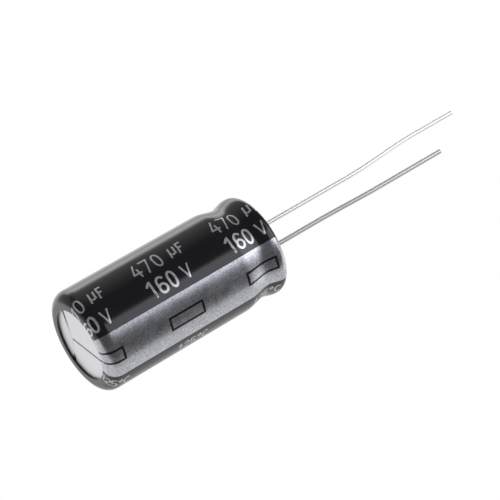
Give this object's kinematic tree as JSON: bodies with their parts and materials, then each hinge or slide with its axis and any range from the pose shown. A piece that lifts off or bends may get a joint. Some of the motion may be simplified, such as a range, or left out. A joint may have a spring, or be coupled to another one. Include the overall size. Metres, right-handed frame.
{
  "type": "radial electrolytic capacitor",
  "caption": "Cylindrical radial-lead electrolytic capacitor: sleeved can with rolled bead, scored vent end, polarity stripe, and two unequal wire leads from one end.",
  "frame": {"origin": "centre of the closed, vented end, on the plane that the part stands on", "axes": "+Z along the can's axis, from the closed end towards the leads; +X from the cathode lead towards the anode lead"},
  "size_m": [0.0128, 0.0128, 0.0606],
  "materials": {
    "sleeve_film": "glossy black shrink film",
    "silver_ink": "metallic silver ink",
    "pale_ink": "pale silver ink",
    "can_metal": "satin",
    "seal_rubber": "matt black",
    "anode_metal": "etched, matt",
    "cathode_metal": "etched, satin",
    "paper": "soaked tissue",
    "tape": "amber film",
    "tab_metal": "satin",
    "tinned_wire": "bright tin"
  },
  "bodies": {
    "root": {"sleeve": "sleeve_film", "stripe_print": "silver_ink", "rating_print": "pale_ink", "temperature_print": "pale_ink", "can": "can_metal", "rubber_seal": "seal_rubber", "anode_foil": "anode_metal", "cathode_foil": "cathode_metal", "separator_inner": "paper", "separator_outer": "paper", "element_tape": "tape", "anode_tab": "tab_metal", "cathode_tab": "tab_metal", "anode_lead": "tinned_wire", "cathode_lead": "tinned_wire"}
  },
  "joints": []
}
